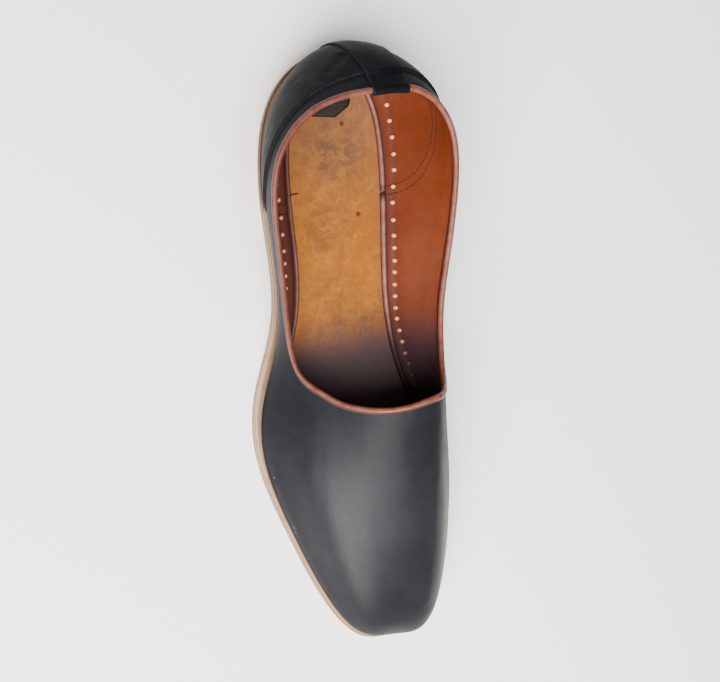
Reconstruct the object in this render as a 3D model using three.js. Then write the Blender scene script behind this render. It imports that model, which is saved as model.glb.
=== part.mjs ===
// A closed slip-on leather shoe for the right foot, with a low heel and a wide open collar.
// Millimetres. The toe points along +Y, the outer side of the foot is +X, and +Z is up.
// The shoe stands on its heel lift and on the flat of its forefoot, and the origin is at the
// middle of its overall box, at floor level.
import * as THREE from 'three';

// Driving dimensions of the last and of the sole
const shoeLength = 290;
const ballWidth = 93;
const upperHeight = 60;
const heelHeight = 7.2;
const toeSpring = 9.4;
const soleThickness = 4.2;
const soleLedge = 1.8;

// Stretches of the underside, as shares of the shoe's length
const heelFront = 0.288;
const waistStart = 0.3;
const waistEnd = 0.57;
const springStart = 0.69;

// Leather thicknesses and trim
const upperWall = 2;
const rimWall = 1.1;
const rimThinning = 9;
const insoleThickness = 2;
const breastHollow = 3.5;
const liftInset = 0.8;
const liftTaper = 1.6;
const randWidth = 2.7;
const randHeight = 2.2;
const counterThickness = 1.1;
const counterReach = 3;
const counterRise = 0.84;
const counterCorner = 4.5;
const counterLowEdge = 0.012;
const stripThickness = 1;
const stripWidth = 20;
const stripCentre = -0.37;
const stripFoot = 2.5;
const stripRamp = 3;
const tabInside = 8;
const bindingThickness = 0.55;
const bindingLeg = 2.4;
const clearance = 0.3;

// Fineness of the faceted surfaces
const roundSteps = 80;
const riseSteps = 13;
const slabRows = 46;
const slabSpans = 2;
const breastSpans = 6;
const splinePasses = 30;
const probe = 0.004;
const weldDistance = 0.002;

// The last, one row for each station round the shoe: from the middle of the heel along the outer
// side to the toe, and back along the inner side. soleY and soleX lie on the edge of the sole,
// collarY, collarX and collarRise on the collar's edge, the rise counted from the seat below it.
// footIn is how much further in than the ledge the wall's foot is turned under. footOut and footUp
// are the handle that the wall leaves the sole by, crownY, crownX and crownUp the handle that it
// reaches the collar by. Y values are shares of the shoe's length, X, inward and outward values
// shares of the ball width, and heights shares of the upper's height.
const columns = [
  'soleY', 'soleX', 'collarY', 'collarX', 'collarRise',
  'footIn', 'footOut', 'footUp', 'crownY', 'crownX', 'crownUp',
];
const stations = [
  [0.000, -0.005, 0.074, -0.016, 0.908, 0.010, 0.117, 0.306, -0.055, -0.003, -0.255],
  [0.034, 0.200, 0.093, 0.275, 0.896, 0.032, 0.124, 0.298, -0.026, 0.000, -0.265],
  [0.114, 0.341, 0.170, 0.483, 0.845, 0.057, 0.139, 0.236, -0.004, -0.007, -0.258],
  [0.250, 0.384, 0.291, 0.487, 0.683, 0.063, 0.131, 0.183, 0.002, -0.013, -0.220],
  [0.413, 0.382, 0.405, 0.438, 0.504, 0.041, 0.097, 0.134, 0.005, -0.003, -0.152],
  [0.539, 0.503, 0.496, 0.388, 0.460, 0.022, 0.040, 0.132, 0.042, 0.020, -0.102],
  [0.659, 0.537, 0.535, 0.302, 0.580, 0.008, 0.022, 0.216, 0.105, 0.121, -0.081],
  [0.791, 0.426, 0.554, 0.231, 0.690, 0.000, 0.019, 0.247, 0.189, 0.152, -0.121],
  [0.902, 0.300, 0.565, 0.141, 0.831, 0.000, 0.016, 0.252, 0.275, 0.116, -0.238],
  [0.983, 0.140, 0.569, 0.035, 0.948, 0.000, 0.020, 0.298, 0.270, 0.054, -0.284],
  [1.000, -0.060, 0.567, -0.071, 1.003, 0.000, 0.053, 0.384, 0.223, -0.021, -0.267],
  [0.993, -0.235, 0.561, -0.176, 1.020, 0.000, 0.080, 0.406, 0.135, -0.052, -0.248],
  [0.903, -0.376, 0.558, -0.257, 0.962, 0.000, 0.066, 0.348, 0.116, -0.046, -0.253],
  [0.776, -0.471, 0.553, -0.332, 0.778, 0.000, 0.043, 0.268, 0.117, -0.044, -0.234],
  [0.656, -0.463, 0.535, -0.384, 0.608, 0.004, 0.090, 0.207, 0.092, 0.026, -0.200],
  [0.520, -0.344, 0.491, -0.423, 0.484, 0.006, 0.047, 0.160, 0.010, -0.004, -0.143],
  [0.380, -0.290, 0.405, -0.462, 0.425, 0.000, 0.054, 0.163, -0.007, 0.020, -0.130],
  [0.240, -0.322, 0.282, -0.504, 0.558, 0.000, 0.070, 0.200, -0.027, 0.013, -0.180],
  [0.108, -0.324, 0.154, -0.484, 0.755, 0.000, 0.088, 0.253, -0.058, -0.006, -0.237],
  [0.023, -0.209, 0.081, -0.298, 0.850, 0.002, 0.106, 0.290, -0.066, -0.015, -0.251],
];

function smoothStep(share) {
  const s = THREE.MathUtils.clamp(share, 0, 1);
  return s * s * (3 - 2 * s);
}

// A closed, evenly curved line through one column of the table, counted in stations
function closedSpline(values) {
  const n = values.length;
  const control = [...values];
  for (let pass = 0; pass < splinePasses; pass += 1) {
    for (let i = 0; i < n; i += 1) {
      const neighbours = control[(i + n - 1) % n] + control[(i + 1) % n];
      control[i] = (6 * values[i] - neighbours) / 4;
    }
  }
  return (t) => {
    const i = Math.floor(t);
    const s = t - i;
    const at = (k) => control[(((i + k) % n) + n) % n];
    return (
      (1 - s) ** 3 * at(-1) +
      (3 * s ** 3 - 6 * s ** 2 + 4) * at(0) +
      (1 + 3 * s + 3 * s ** 2 - 3 * s ** 3) * at(1) +
      s ** 3 * at(2)
    ) / 6;
  };
}

const last = {};
columns.forEach((name, k) => {
  last[name] = closedSpline(stations.map((row) => row[k]));
});

// Height of the sole's underside above the floor
function underside(y) {
  const share = y / shoeLength;
  const waist = smoothStep((waistEnd - share) / (waistEnd - waistStart));
  const spring = Math.max(0, (share - springStart) / (1 - springStart));
  return heelHeight * waist + toeSpring * spring ** 2;
}

function seat(y) {
  return underside(y) + soleThickness;
}

// The sole's edge in plan, moved inwards by an inset
function soleEdge(t, inset) {
  const point = (at) => new THREE.Vector2(last.soleX(at) * ballWidth, last.soleY(at) * shoeLength);
  const along = point(t + probe).sub(point(t - probe)).normalize();
  const inwards = new THREE.Vector2(-along.y, along.x);
  return point(t).addScaledVector(inwards, inset);
}

// The line that the upper's foot stands on, moved inwards by an inset
function footLine(t, inset) {
  return soleEdge(t, soleLedge + last.footIn(t) * ballWidth + inset);
}

// The upper's outer surface: t in stations round the shoe, v from 0 at the sole to 1 at the collar
function outside(t, v) {
  const edge = footLine(t, 0);
  const spread = footLine(t, -last.footOut(t) * ballWidth);
  const foot = new THREE.Vector3(edge.x, edge.y, seat(edge.y) + clearance);
  const collarY = last.collarY(t) * shoeLength;
  const collar = new THREE.Vector3(
    last.collarX(t) * ballWidth, collarY, seat(collarY) + last.collarRise(t) * upperHeight);
  const footHandle = new THREE.Vector3(
    spread.x, spread.y, foot.z + last.footUp(t) * upperHeight);
  const collarHandle = collar.clone().add(new THREE.Vector3(
    last.crownX(t) * ballWidth, last.crownY(t) * shoeLength, last.crownUp(t) * upperHeight));
  return new THREE.Vector3()
    .addScaledVector(foot, (1 - v) ** 3)
    .addScaledVector(footHandle, 3 * (1 - v) ** 2 * v)
    .addScaledVector(collarHandle, 3 * (1 - v) * v ** 2)
    .addScaledVector(collar, v ** 3);
}

function roundSlope(t, v) {
  return outside(t + probe, v).sub(outside(t - probe, v)).divideScalar(2 * probe);
}

function riseSlope(t, v) {
  const low = Math.max(0, v - probe);
  const high = Math.min(1, v + probe);
  return outside(t, high).sub(outside(t, low)).divideScalar(high - low);
}

// Outward direction, level at the sole so that the wall stands square on it
function outwards(t, v) {
  const normal = riseSlope(t, v).cross(roundSlope(t, v)).normalize().negate();
  const levelBelow = 0.12;
  const blend = smoothStep(v / levelBelow);
  const level = new THREE.Vector3(normal.x, normal.y, 0).normalize();
  return level.lerp(normal, blend).normalize();
}

// The point v on the wall at a distance below the collar, measured down the surface
function belowCollar(t, distance) {
  return 1 - distance / riseSlope(t, 1).length();
}

function aboveSole(t, distance) {
  return distance / riseSlope(t, 0).length();
}

function wallAt(t, v) {
  const fromRim = (1 - v) * riseSlope(t, 1).length();
  return rimWall + (upperWall - rimWall) * smoothStep(fromRim / rimThinning);
}

function outerSkin(t, v, offset) {
  return outside(t, v).addScaledVector(outwards(t, v), offset);
}

function innerSkin(t, v, offset) {
  return outside(t, v).addScaledVector(outwards(t, v), -(wallAt(t, v) + offset));
}

// A line up the outside through the given rises, over the collar's edge and down the inside
function overTheRim(t, rises, offset, insideReach) {
  const line = rises.map((v) => outerSkin(t, v, offset));
  const normal = outwards(t, 1);
  const up = riseSlope(t, 1).normalize();
  const middle = outside(t, 1).addScaledVector(normal, -rimWall / 2);
  const radius = rimWall / 2 + offset;
  const arcSteps = 3;
  for (let k = 1; k < arcSteps; k += 1) {
    const angle = (Math.PI * k) / arcSteps;
    line.push(middle.clone()
      .addScaledVector(normal, radius * Math.cos(angle))
      .addScaledVector(up, radius * Math.sin(angle)));
  }
  const insideRows = 2;
  for (let k = 0; k <= insideRows; k += 1) {
    line.push(innerSkin(t, belowCollar(t, (insideReach * k) / insideRows), offset));
  }
  return line;
}

function material(colour, roughness) {
  return new THREE.MeshStandardMaterial({ color: colour, roughness, metalness: 0 });
}

const blackLeather = material('#2b2d33', 0.5);
const tanLeather = material('#9a5b44', 0.6);
const naturalLeather = material('#bd8a52', 0.75);
const soleLeather = material('#cda77c', 0.8);

// A named mesh from points and triangles. Points that coincide become one, and the faces are
// turned outwards.
function solid(name, points, triangles, finish) {
  const seen = new Map();
  const kept = [];
  const welded = points.map((p) => {
    const key = p.toArray().map((value) => Math.round(value / weldDistance)).join();
    if (!seen.has(key)) {
      seen.set(key, kept.length);
      kept.push(p);
    }
    return seen.get(key);
  });
  const faces = triangles
    .map((corners) => corners.map((corner) => welded[corner]))
    .filter(([a, b, c]) => a !== b && b !== c && c !== a);
  const volume = faces.reduce(
    (sum, [a, b, c]) => sum + kept[a].dot(kept[b].clone().cross(kept[c])), 0);
  const order = volume > 0 ? ([a, b, c]) => [a, b, c] : ([a, b, c]) => [a, c, b];
  const geometry = new THREE.BufferGeometry();
  geometry.setAttribute(
    'position', new THREE.Float32BufferAttribute(kept.flatMap((p) => p.toArray()), 3));
  geometry.setIndex(faces.flatMap(order));
  geometry.computeVertexNormals();
  const mesh = new THREE.Mesh(geometry, finish);
  mesh.name = name;
  return mesh;
}

// A closed solid between two skins, each a list of lines of points. A ring's last line joins
// its first one, and a strip gets an end wall at both ends.
function between(name, skinA, skinB, isRing, finish) {
  const lines = skinA.length;
  const rows = skinA[0].length;
  const points = [...skinA.flat(), ...skinB.flat()];
  const a = (i, k) => (i % lines) * rows + k;
  const b = (i, k) => lines * rows + a(i, k);
  const triangles = [];
  const quad = (p, q, r, s) => triangles.push([p, q, r], [p, r, s]);
  const spans = isRing ? lines : lines - 1;
  for (let i = 0; i < spans; i += 1) {
    for (let k = 0; k < rows - 1; k += 1) {
      quad(a(i, k), a(i + 1, k), a(i + 1, k + 1), a(i, k + 1));
      quad(b(i, k), b(i, k + 1), b(i + 1, k + 1), b(i + 1, k));
    }
    quad(a(i, 0), b(i, 0), b(i + 1, 0), a(i + 1, 0));
    quad(a(i, rows - 1), a(i + 1, rows - 1), b(i + 1, rows - 1), b(i, rows - 1));
  }
  if (!isRing) {
    for (let k = 0; k < rows - 1; k += 1) {
      quad(a(0, k), a(0, k + 1), b(0, k + 1), b(0, k));
      quad(a(lines - 1, k), b(lines - 1, k), b(lines - 1, k + 1), a(lines - 1, k + 1));
    }
  }
  return solid(name, points, triangles, finish);
}

function evenly(steps, from, to, isClosed) {
  const count = isClosed ? steps : steps + 1;
  return Array.from({ length: count }, (_, i) => from + ((to - from) * i) / steps);
}

// Station on the outer side (1) or the inner side (-1) where an edge reaches y
function stationAt(y, edge, side) {
  let near = 0;
  let far = (stations.length / 2) * side;
  for (let pass = 0; pass < splinePasses; pass += 1) {
    const middle = (near + far) / 2;
    if (edge(middle).y < y) near = middle;
    else far = middle;
  }
  return near;
}

// Rows of points across the shoe inside a given edge. They run the shoe's whole length, or from
// the heel to a hollowed front edge.
function plan(edge, front, hollow) {
  const heelTip = edge(0);
  const toeTip = edge(stations.length / 2);
  const isWhole = front === null;
  const length = (isWhole ? toeTip.y : front) - heelTip.y;
  const rows = isWhole ? slabRows : slabRows / 2;
  const shares = evenly(rows, 0, 1, false).slice(1, isWhole ? -1 : undefined);
  const across = evenly(isWhole ? slabSpans : breastSpans, 0, 1, false);
  const lines = [across.map(() => heelTip.clone())];
  shares.forEach((share) => {
    const reach = isWhole ? (1 - Math.cos(Math.PI * share)) / 2 : share ** 1.5;
    const y = heelTip.y + length * reach;
    const inner = edge(stationAt(y, edge, -1));
    const outer = edge(stationAt(y, edge, 1));
    lines.push(across.map((side) => {
      const point = inner.clone().lerp(outer, side);
      point.y -= hollow * Math.sin(Math.PI * side) * reach ** 3;
      return point;
    }));
  });
  if (isWhole) lines.push(across.map(() => toeTip.clone()));
  return lines;
}

// A flat-lying piece between two plans, whose top and underside are functions of y
function slab(name, topPlan, top, bottomPlan, bottom, finish) {
  const face = (lines, height) => lines.map(
    (row) => row.map((p) => new THREE.Vector3(p.x, p.y, height(p.y))));
  return between(name, face(topPlan, top), face(bottomPlan, bottom), false, finish);
}

const roundTheShoe = evenly(roundSteps, 0, stations.length, true);
const upTheWall = evenly(riseSteps, 0, 1, false);

function makeOutsole() {
  const whole = plan((t) => soleEdge(t, 0), null, 0);
  return slab('outsole', whole, seat, whole, underside, soleLeather);
}

function makeHeelLift() {
  const inside = (inset) => plan(
    (t) => soleEdge(t, inset), heelFront * shoeLength, breastHollow);
  const top = () => heelHeight - clearance;
  return slab(
    'heel_lift', inside(liftInset), top, inside(liftInset + liftTaper), () => 0, soleLeather);
}

function makeInsole() {
  const whole = plan((t) => footLine(t, upperWall + clearance), null, 0);
  const bottom = (y) => seat(y) + clearance;
  const top = (y) => bottom(y) + insoleThickness;
  return slab('insole', whole, top, whole, bottom, naturalLeather);
}

// Rolled bead that lies on the insole, along the foot of the wall
function makeRand() {
  const inset = upperWall + 2 * clearance;
  const archSteps = 3;
  const across = evenly(archSteps, 0, 1, false);
  const line = (t, isTop) => across.map((share) => {
    const point = footLine(t, inset + randWidth * share);
    const rise = isTop ? randHeight * Math.max(0.25, Math.sin(Math.PI * share)) : 0;
    const floor = seat(point.y) + insoleThickness + 2 * clearance;
    return new THREE.Vector3(point.x, point.y, floor + rise);
  });
  const top = roundTheShoe.map((t) => line(t, true));
  const bottom = roundTheShoe.map((t) => line(t, false));
  return between('insole_rand', top, bottom, true, tanLeather);
}

function makeUpper() {
  const outer = roundTheShoe.map((t) => upTheWall.map((v) => outerSkin(t, v, 0)));
  const inner = roundTheShoe.map((t) => upTheWall.map((v) => innerSkin(t, v, 0)));
  return between('upper', outer, inner, true, blackLeather);
}

// Height of the counter's top edge, as a share of the wall: level round the heel, and rounded
// down to the sole at its two front corners
function counterTop(t) {
  const share = Math.min(1, Math.abs(t) / counterReach);
  return counterRise * Math.sqrt(1 - share ** counterCorner);
}

function makeCounter() {
  const rows = 10;
  const side = [1, 0.985, 0.96];
  const whole = Math.floor((counterReach * roundSteps) / stations.length - 0.5);
  const step = stations.length / roundSteps;
  const around = [
    ...side.map((share) => -share * counterReach),
    ...evenly(2 * whole, -whole * step, whole * step, false),
    ...side.reverse().map((share) => share * counterReach),
  ];
  const skin = (offset) => around.map((t) => evenly(rows, 0, 1, false).map((share) => {
    const v = counterLowEdge + Math.max(counterLowEdge, counterTop(t) - counterLowEdge) * share;
    return outerSkin(t, v, offset);
  }));
  const inside = skin(clearance);
  return between('heel_counter', skin(clearance + counterThickness), inside, false, blackLeather);
}

// Where the heel strip begins to step down from the counter onto the upper above it
function stripStep(t) {
  return counterTop(t) + counterThickness / riseSlope(t, 1).length();
}

function stripOffset(t, v) {
  const above = (v - stripStep(t)) * riseSlope(t, 1).length();
  const overCounter = counterThickness + 2 * clearance;
  return overCounter + (clearance - overCounter) * smoothStep(above / stripRamp);
}

function makeHeelStrip() {
  const steps = 6;
  const lowRows = 11;
  const highRows = 5;
  const foot = aboveSole(stripCentre, stripFoot);
  const halfAt = (v) => stripWidth / 2 / roundSlope(stripCentre, v).length();
  const skin = (extra) => evenly(steps, -1, 1, false).map((share) => {
    const step = stripStep(stripCentre + share * halfAt(counterRise));
    const rises = [
      ...evenly(lowRows, foot, step, false),
      ...evenly(highRows, step, 1, false).slice(1, -1),
    ];
    const outer = rises.map((v) => {
      const t = stripCentre + share * halfAt(v);
      return outerSkin(t, v, stripOffset(t, v) + extra);
    });
    const top = stripCentre + share * halfAt(1);
    return [...outer, ...overTheRim(top, [1], clearance + extra, tabInside)];
  });
  return between('heel_strip', skin(stripThickness), skin(0), false, blackLeather);
}

function makeBinding() {
  const gapHalf = stripWidth / 2 + clearance;
  const half = gapHalf / roundSlope(stripCentre, 1).length();
  const start = stripCentre + half;
  const end = stripCentre - half + stations.length;
  const skin = (extra) => evenly(roundSteps, start, end, false).map((t) => overTheRim(
    t, evenly(2, belowCollar(t, bindingLeg), 1, false), clearance + extra, bindingLeg));
  return between('topline_binding', skin(bindingThickness), skin(0), false, tanLeather);
}

const pieces = [
  makeOutsole(), makeHeelLift(), makeInsole(), makeRand(),
  makeUpper(), makeCounter(), makeHeelStrip(), makeBinding(),
];
const shoe = new THREE.Group();
shoe.add(...pieces);
const box = new THREE.Box3().setFromObject(shoe);
const middle = box.getCenter(new THREE.Vector3());
shoe.position.set(-middle.x, -middle.y, -box.min.z);

export default shoe;
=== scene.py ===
import math

import bpy
import bmesh
import numpy as np
from mathutils import Matrix, Vector


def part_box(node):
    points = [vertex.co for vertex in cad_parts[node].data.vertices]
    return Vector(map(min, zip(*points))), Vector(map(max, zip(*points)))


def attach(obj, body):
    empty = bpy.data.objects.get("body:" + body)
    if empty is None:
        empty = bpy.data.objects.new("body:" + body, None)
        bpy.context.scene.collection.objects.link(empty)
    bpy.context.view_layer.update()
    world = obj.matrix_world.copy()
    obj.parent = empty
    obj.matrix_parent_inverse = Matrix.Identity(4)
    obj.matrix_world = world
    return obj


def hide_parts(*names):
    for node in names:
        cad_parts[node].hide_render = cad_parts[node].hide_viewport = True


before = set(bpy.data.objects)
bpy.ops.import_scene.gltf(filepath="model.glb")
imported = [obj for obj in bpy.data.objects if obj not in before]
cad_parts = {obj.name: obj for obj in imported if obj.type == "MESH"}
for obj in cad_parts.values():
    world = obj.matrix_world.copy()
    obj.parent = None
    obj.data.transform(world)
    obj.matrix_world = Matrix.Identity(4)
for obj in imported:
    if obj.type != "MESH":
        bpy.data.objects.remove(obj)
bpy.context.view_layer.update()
MM = 0.001

# Driving dimensions of the last and of the sole
SHOE_LENGTH = 290
BALL_WIDTH = 93
UPPER_HEIGHT = 60
HEEL_HEIGHT = 7.2
TOE_SPRING = 9.4
SOLE_THICKNESS = 4.2
SOLE_LEDGE = 1.8

# Stretches of the underside, as shares of the shoe's length
HEEL_FRONT = 0.288
WAIST_START = 0.3
WAIST_END = 0.57
SPRING_START = 0.69

# Leather thicknesses and trim
UPPER_WALL = 2
RIM_WALL = 1.1
RIM_THINNING = 9
INSOLE_THICKNESS = 2
BREAST_HOLLOW = 3.5
LIFT_INSET = 0.8
LIFT_TAPER = 1.6
RAND_WIDTH = 2.7
RAND_HEIGHT = 2.2
COUNTER_THICKNESS = 1.1
COUNTER_REACH = 3
COUNTER_RISE = 0.84
COUNTER_CORNER = 4.5
COUNTER_LOW_EDGE = 0.012
STRIP_THICKNESS = 1
STRIP_WIDTH = 20
STRIP_CENTRE = -0.37
STRIP_FOOT = 2.5
STRIP_RAMP = 3
TAB_INSIDE = 8
BINDING_THICKNESS = 0.55
BINDING_LEG = 2.4
CLEARANCE = 0.3
PROBE = 0.004
SEAT_LIFT = INSOLE_THICKNESS + CLEARANCE

# The finished pieces sit this far into what carries them, so that no gap shows
TUCK = 0.12

# Below this share of the wall's height its outward direction turns level
LEVEL_BELOW = 0.12

# The last, one row for each station round the shoe: from the middle of the heel along the outer
# side to the toe, and back along the inner side. Y values are shares of the shoe's length, X and
# outward values shares of the ball width, and heights shares of the upper's height.
COLUMNS = (
    "sole_y", "sole_x", "collar_y", "collar_x", "collar_rise",
    "foot_in", "foot_out", "foot_up", "crown_y", "crown_x", "crown_up",
)
STATIONS = np.array((
    (0.000, -0.005, 0.074, -0.016, 0.908, 0.010, 0.117, 0.306, -0.055, -0.003, -0.255),
    (0.034, 0.200, 0.093, 0.275, 0.896, 0.032, 0.124, 0.298, -0.026, 0.000, -0.265),
    (0.114, 0.341, 0.170, 0.483, 0.845, 0.057, 0.139, 0.236, -0.004, -0.007, -0.258),
    (0.250, 0.384, 0.291, 0.487, 0.683, 0.063, 0.131, 0.183, 0.002, -0.013, -0.220),
    (0.413, 0.382, 0.405, 0.438, 0.504, 0.041, 0.097, 0.134, 0.005, -0.003, -0.152),
    (0.539, 0.503, 0.496, 0.388, 0.460, 0.022, 0.040, 0.132, 0.042, 0.020, -0.102),
    (0.659, 0.537, 0.535, 0.302, 0.580, 0.008, 0.022, 0.216, 0.105, 0.121, -0.081),
    (0.791, 0.426, 0.554, 0.231, 0.690, 0.000, 0.019, 0.247, 0.189, 0.152, -0.121),
    (0.902, 0.300, 0.565, 0.141, 0.831, 0.000, 0.016, 0.252, 0.275, 0.116, -0.238),
    (0.983, 0.140, 0.569, 0.035, 0.948, 0.000, 0.020, 0.298, 0.270, 0.054, -0.284),
    (1.000, -0.060, 0.567, -0.071, 1.003, 0.000, 0.053, 0.384, 0.223, -0.021, -0.267),
    (0.993, -0.235, 0.561, -0.176, 1.020, 0.000, 0.080, 0.406, 0.135, -0.052, -0.248),
    (0.903, -0.376, 0.558, -0.257, 0.962, 0.000, 0.066, 0.348, 0.116, -0.046, -0.253),
    (0.776, -0.471, 0.553, -0.332, 0.778, 0.000, 0.043, 0.268, 0.117, -0.044, -0.234),
    (0.656, -0.463, 0.535, -0.384, 0.608, 0.004, 0.090, 0.207, 0.092, 0.026, -0.200),
    (0.520, -0.344, 0.491, -0.423, 0.484, 0.006, 0.047, 0.160, 0.010, -0.004, -0.143),
    (0.380, -0.290, 0.405, -0.462, 0.425, 0.000, 0.054, 0.163, -0.007, 0.020, -0.130),
    (0.240, -0.322, 0.282, -0.504, 0.558, 0.000, 0.070, 0.200, -0.027, 0.013, -0.180),
    (0.108, -0.324, 0.154, -0.484, 0.755, 0.000, 0.088, 0.253, -0.058, -0.006, -0.237),
    (0.023, -0.209, 0.081, -0.298, 0.850, 0.002, 0.106, 0.290, -0.066, -0.015, -0.251),
))
ROUND = len(STATIONS)
TOE = ROUND / 2


# The surfaces of the last

def smooth_step(share):
    s = np.clip(share, 0, 1)
    return s * s * (3 - 2 * s)


def closed_spline(values):
    """A closed, evenly curved line through one column of the table, counted in stations."""
    rows = np.arange(ROUND)
    weights = np.zeros((ROUND, ROUND))
    weights[rows, rows] = 4 / 6
    weights[rows, (rows + 1) % ROUND] = 1 / 6
    weights[rows, (rows - 1) % ROUND] = 1 / 6
    control = np.linalg.solve(weights, values)

    def line(t):
        t = np.asarray(t, float)
        i = np.floor(t).astype(int)
        s = t - i
        before = (1 - s) ** 3 * control[(i - 1) % ROUND]
        here = (3 * s ** 3 - 6 * s ** 2 + 4) * control[i % ROUND]
        after = (1 + 3 * s + 3 * s ** 2 - 3 * s ** 3) * control[(i + 1) % ROUND]
        beyond = s ** 3 * control[(i + 2) % ROUND]
        return (before + here + after + beyond) / 6

    return line


LAST = {name: closed_spline(STATIONS[:, k]) for k, name in enumerate(COLUMNS)}


def underside(y):
    share = y / SHOE_LENGTH
    waist = smooth_step((WAIST_END - share) / (WAIST_END - WAIST_START))
    spring = np.maximum(0, (share - SPRING_START) / (1 - SPRING_START))
    return HEEL_HEIGHT * waist + TOE_SPRING * spring ** 2


def seat(y):
    return underside(y) + SOLE_THICKNESS


def unit(vectors):
    return vectors / np.linalg.norm(vectors, axis=-1, keepdims=True)


def stack(*parts):
    return np.stack(np.broadcast_arrays(*parts), axis=-1)


def sole_edge(t, inset):
    """The sole's edge in plan, moved inwards by an inset."""
    def point(at):
        return stack(LAST["sole_x"](at) * BALL_WIDTH, LAST["sole_y"](at) * SHOE_LENGTH)
    along = unit(point(t + PROBE) - point(t - PROBE))
    inwards = stack(-along[..., 1], along[..., 0])
    return point(t) + inwards * np.asarray(inset)[..., None]


def foot_line(t, inset):
    """The line that the upper's foot stands on, moved inwards by an inset."""
    return sole_edge(t, SOLE_LEDGE + LAST["foot_in"](t) * BALL_WIDTH + inset)


def outside(t, v):
    """The upper's outer surface: v runs from 0 at the sole to 1 at the collar."""
    t, v = np.broadcast_arrays(np.asarray(t, float), np.asarray(v, float))
    edge = foot_line(t, 0)
    spread = foot_line(t, -LAST["foot_out"](t) * BALL_WIDTH)
    foot_height = seat(edge[..., 1]) + CLEARANCE
    foot = stack(edge[..., 0], edge[..., 1], foot_height)
    collar_y = LAST["collar_y"](t) * SHOE_LENGTH
    collar = stack(
        LAST["collar_x"](t) * BALL_WIDTH, collar_y,
        seat(collar_y) + LAST["collar_rise"](t) * UPPER_HEIGHT)
    foot_handle = stack(
        spread[..., 0], spread[..., 1], foot_height + LAST["foot_up"](t) * UPPER_HEIGHT)
    collar_handle = collar + stack(
        LAST["crown_x"](t) * BALL_WIDTH, LAST["crown_y"](t) * SHOE_LENGTH,
        LAST["crown_up"](t) * UPPER_HEIGHT)
    v = v[..., None]
    return (
        foot * (1 - v) ** 3
        + foot_handle * 3 * (1 - v) ** 2 * v
        + collar_handle * 3 * (1 - v) * v ** 2
        + collar * v ** 3
    )


def round_slope(t, v):
    return (outside(t + PROBE, v) - outside(t - PROBE, v)) / (2 * PROBE)


def rise_slope(t, v):
    low = np.maximum(0, np.asarray(v, float) - PROBE)
    high = np.minimum(1, np.asarray(v, float) + PROBE)
    return (outside(t, high) - outside(t, low)) / np.asarray(high - low)[..., None]


def outwards(t, v):
    """Outward direction, level at the sole so that the wall stands square on it."""
    normal = -unit(np.cross(rise_slope(t, v), round_slope(t, v)))
    blend = smooth_step(np.asarray(v, float) / LEVEL_BELOW)[..., None]
    level = unit(normal * (1, 1, 0))
    return unit(level * (1 - blend) + normal * blend)


def rim_speed(t):
    return np.linalg.norm(rise_slope(t, 1.0), axis=-1)


def below_collar(t, distance):
    return 1 - distance / rim_speed(t)


def above_sole(t, distance):
    return distance / np.linalg.norm(rise_slope(t, 0.0), axis=-1)


def wall_at(t, v):
    from_rim = (1 - v) * rim_speed(t)
    return RIM_WALL + (UPPER_WALL - RIM_WALL) * smooth_step(from_rim / RIM_THINNING)


def counter_top(t):
    """Height of the counter's top edge, as a share of the wall."""
    share = np.minimum(1, np.abs(t) / COUNTER_REACH)
    return COUNTER_RISE * np.sqrt(1 - share ** COUNTER_CORNER)


# The lining's foot is filled out where it meets the bead, and more so on the outer side, where
# the bead also stands further in
FOOT_FILLET = 0.8
OUTER_FILLET = 2.0
OUTER_BEAD_SHIFT = 1.2
OUTER_STITCH_RISE = 0.5
FILLET_START = 0.05
FILLET_END = 0.25
# The outer side's middle station, and how many stations it reaches each way
OUTER_MIDDLE = 3.0
OUTER_REACH = 3.4

# Each crease runs between two places on the wall, with a depth and a half width in millimetres.
# A negative depth is a ridge.
CREASES = (
    (11.0, 0.72, 10.7, 0.34, -0.16, 2.4),
    (0.25, 0.86, 0.10, 0.60, 0.30, 2.2),
    (0.45, 0.72, 0.10, 0.60, 0.25, 2.0),
    (0.75, 0.90, 0.95, 0.60, -0.20, 2.5),
)
# Broad unevenness of the wall: height in millimetres, waves round the shoe, waves up the wall,
# and phase
WAVES = ((0.05, 9, 1.3, 0.4), (0.03, 17, 2.1, 1.9), (0.02, 29, 3.2, 3.0))
# It fades out over these shares of the wall, at the foot and at the rim
CALM_FOOT = 0.3
CALM_RIM = 0.12

SEGMENTS = [
    (outside(start_t, start_v), outside(end_t, end_v), depth, width)
    for start_t, start_v, end_t, end_v, depth, width in CREASES
]


def relief(t, v, points):
    """Height of the creases and of the broad unevenness, along the outward direction."""
    height = np.zeros(points.shape[:-1])
    for size, around, up, phase in WAVES:
        angle = 2 * math.pi * around * t / ROUND + 2 * math.pi * up * v + phase
        fade = smooth_step(v / CALM_FOOT) * smooth_step((1 - v) / CALM_RIM)
        height = height + size * np.sin(angle) * fade
    for start, end, depth, width in SEGMENTS:
        along = end - start
        share = np.clip(((points - start) @ along) / (along @ along), 0, 1)
        nearest = start + share[..., None] * along
        distance = np.linalg.norm(points - nearest, axis=-1)
        trough = np.exp(-(distance / width) ** 2)
        lip = 0.35 * np.exp(-((distance - 2 * width) / width) ** 2)
        height = height + depth * (lip - trough)
    return height


def outer_skin(t, v, offset):
    points = outside(t, v)
    height = relief(t, v, points) + offset
    return points + outwards(t, v) * np.asarray(height)[..., None]


def outer_side(t):
    """1 along the outer side of the waist and heel, 0 elsewhere, with soft ends."""
    away = (np.asarray(t, float) - OUTER_MIDDLE + ROUND / 2) % ROUND - ROUND / 2
    return smooth_step(1.4 * (1 - np.abs(away) / OUTER_REACH))


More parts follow.
